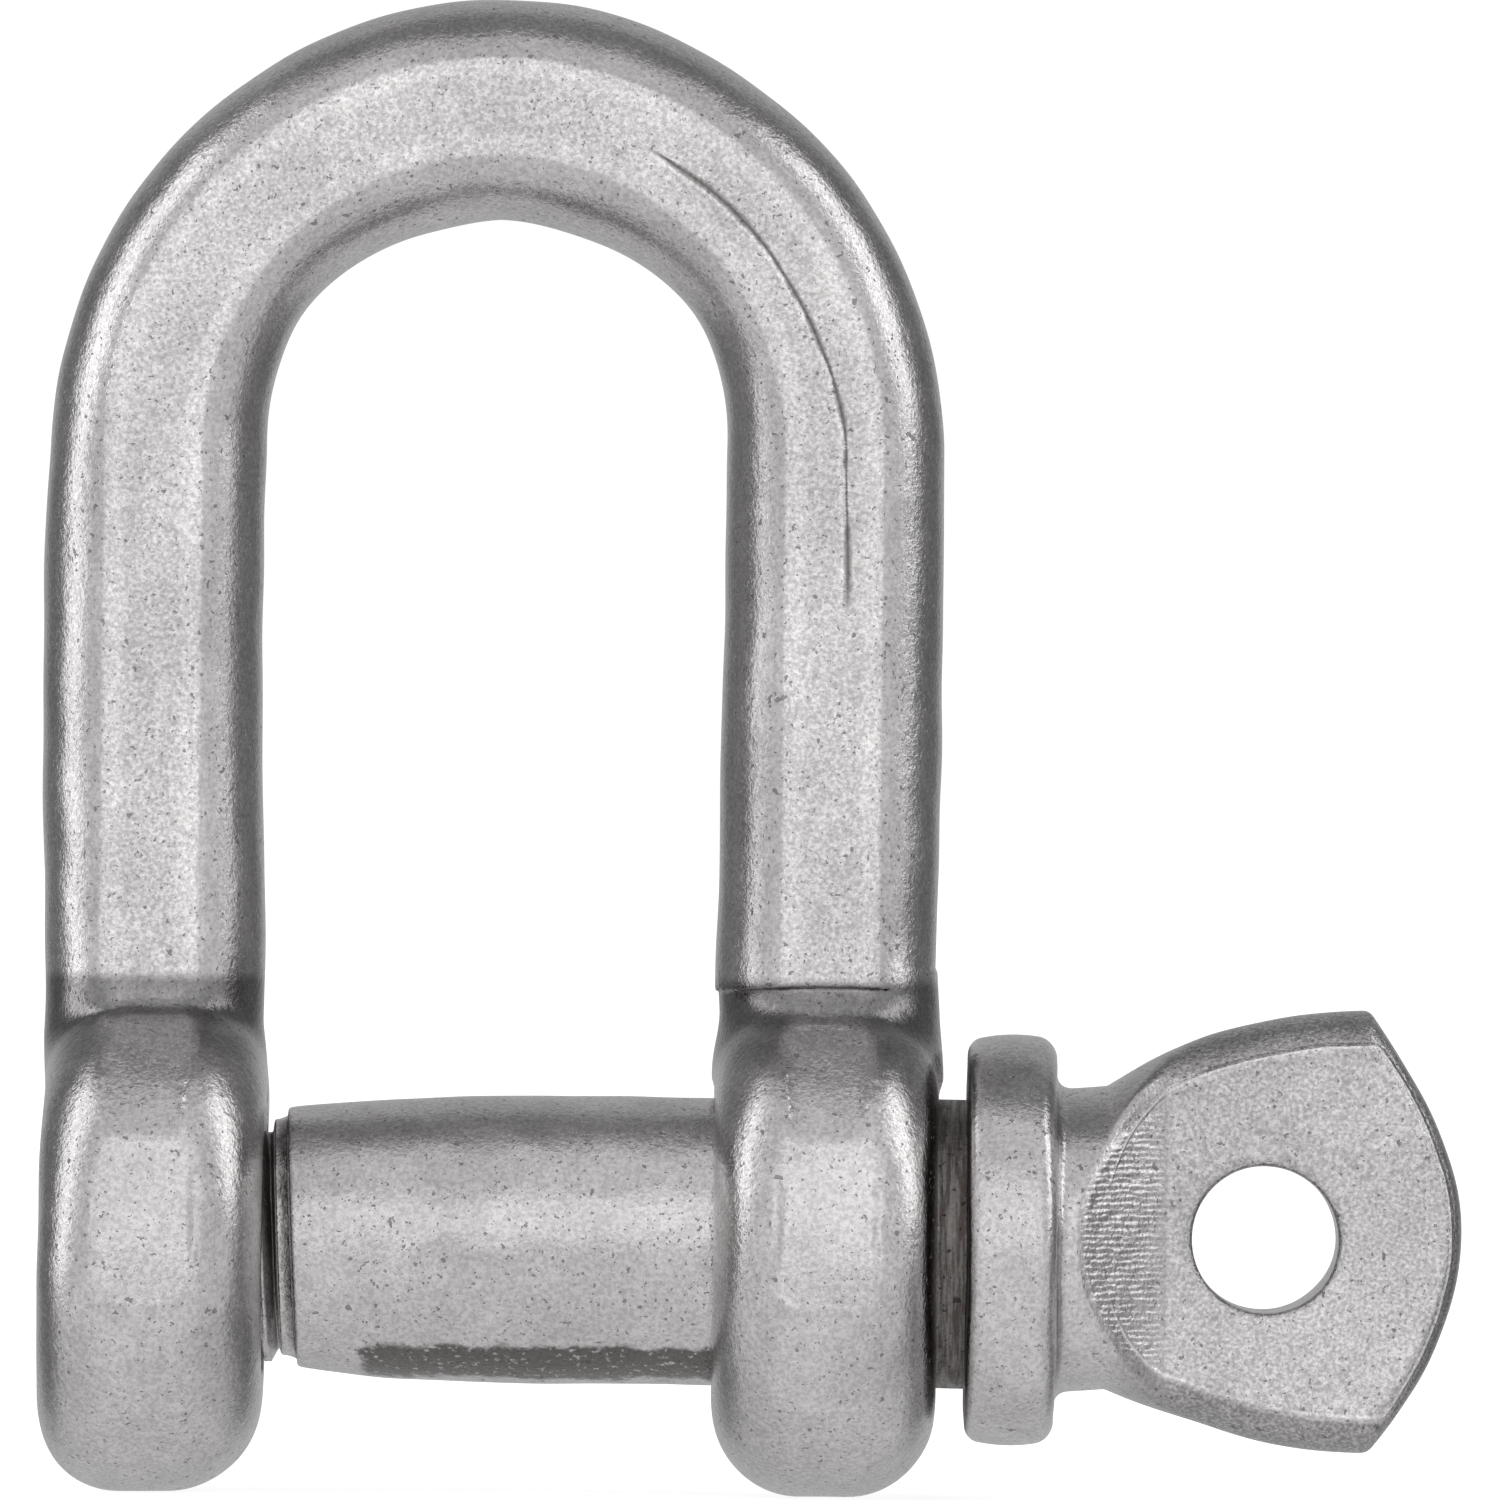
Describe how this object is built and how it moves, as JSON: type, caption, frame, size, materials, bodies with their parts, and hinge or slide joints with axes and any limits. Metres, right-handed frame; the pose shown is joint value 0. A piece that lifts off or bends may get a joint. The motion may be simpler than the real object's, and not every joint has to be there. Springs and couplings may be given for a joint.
{
  "type": "dee shackle",
  "caption": "Forged stainless dee shackle: round-bar bow with pierced ears, and a screw pin with a collar and a flattened, drilled eye.",
  "frame": {"origin": "on the pin's axis, midway between the two ears: the seat of whatever hangs on the pin", "axes": "+X along the pin towards its eye, +Z along the load line through the crown, +Y through the hole of the pin's eye"},
  "size_m": [0.0392, 0.014, 0.0412],
  "materials": {
    "bow_steel": "forged and tumbled stainless steel, satin, with fine pits",
    "pin_steel": "forged and tumbled stainless steel, satin, slightly brighter than the bow"
  },
  "bodies": {
    "bow": {"bow": "bow_steel"},
    "pin_slide": {"pin_shank": "pin_steel"},
    "pin_screw": {"pin_thread": "pin_steel", "pin_head": "pin_steel"}
  },
  "joints": [
    {"name": "pin_travel", "type": "slide", "parent": "bow", "child": "pin_slide", "axis": [1, 0, 0], "range_m": [-0.00075, 0.025]},
    {"name": "pin_turn", "type": "hinge", "parent": "pin_slide", "child": "pin_screw", "pos_m": [0, 0, 0], "axis": [1, 0, 0], "range_deg": [-270.5, 9000.5]}
  ],
  "couplings": [
    {"joint": "pin_turn", "follows": "pin_travel", "rad_per_m": 6283.2}
  ]
}
